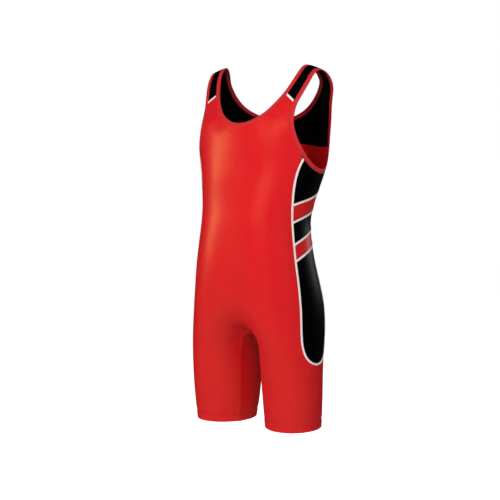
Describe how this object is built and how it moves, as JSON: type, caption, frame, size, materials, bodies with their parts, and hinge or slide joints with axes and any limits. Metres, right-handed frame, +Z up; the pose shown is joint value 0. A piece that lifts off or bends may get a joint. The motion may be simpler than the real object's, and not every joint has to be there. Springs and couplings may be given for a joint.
{
  "type": "wrestling singlet",
  "caption": "Sleeveless one-piece stretch suit with mid-thigh legs, a scooped neck, deep armholes and contrasting side panels, filled out as worn.",
  "frame": {"origin": "midway between the two shoulder straps, on their underside, where the wearer's shoulders hold the garment up", "axes": "+Z up; the front of the garment faces -Y; the wearer's left side is at +X"},
  "size_m": [0.3442, 0.2471, 0.8629],
  "materials": {
    "red_cloth": "fine stretch knit with a soft sheen",
    "black_cloth": "fine stretch knit with a soft sheen",
    "white_tape": "narrow flat seam tape, stitched along both edges"
  },
  "bodies": {
    "root": {"armhole_binding_left": "red_cloth", "armhole_binding_right": "red_cloth", "back_panel": "red_cloth", "back_yoke": "black_cloth", "cross_tape_1_left": "white_tape", "cross_tape_1_right": "white_tape", "cross_tape_2_left": "white_tape", "cross_tape_2_right": "white_tape", "cross_tape_3_left": "white_tape", "cross_tape_3_right": "white_tape", "cross_tape_4_left": "white_tape", "cross_tape_4_right": "white_tape", "front_panel": "red_cloth", "neck_binding": "red_cloth", "side_bar_1_left": "red_cloth", "side_bar_1_right": "red_cloth", "side_bar_2_left": "red_cloth", "side_bar_2_right": "red_cloth", "side_lower_left": "black_cloth", "side_lower_right": "black_cloth", "side_middle_left": "black_cloth", "side_middle_right": "black_cloth", "side_tape_left": "white_tape", "side_tape_right": "white_tape", "side_upper_left": "black_cloth", "side_upper_right": "black_cloth", "strap_bar_left": "white_tape", "strap_bar_right": "white_tape"}
  },
  "joints": []
}
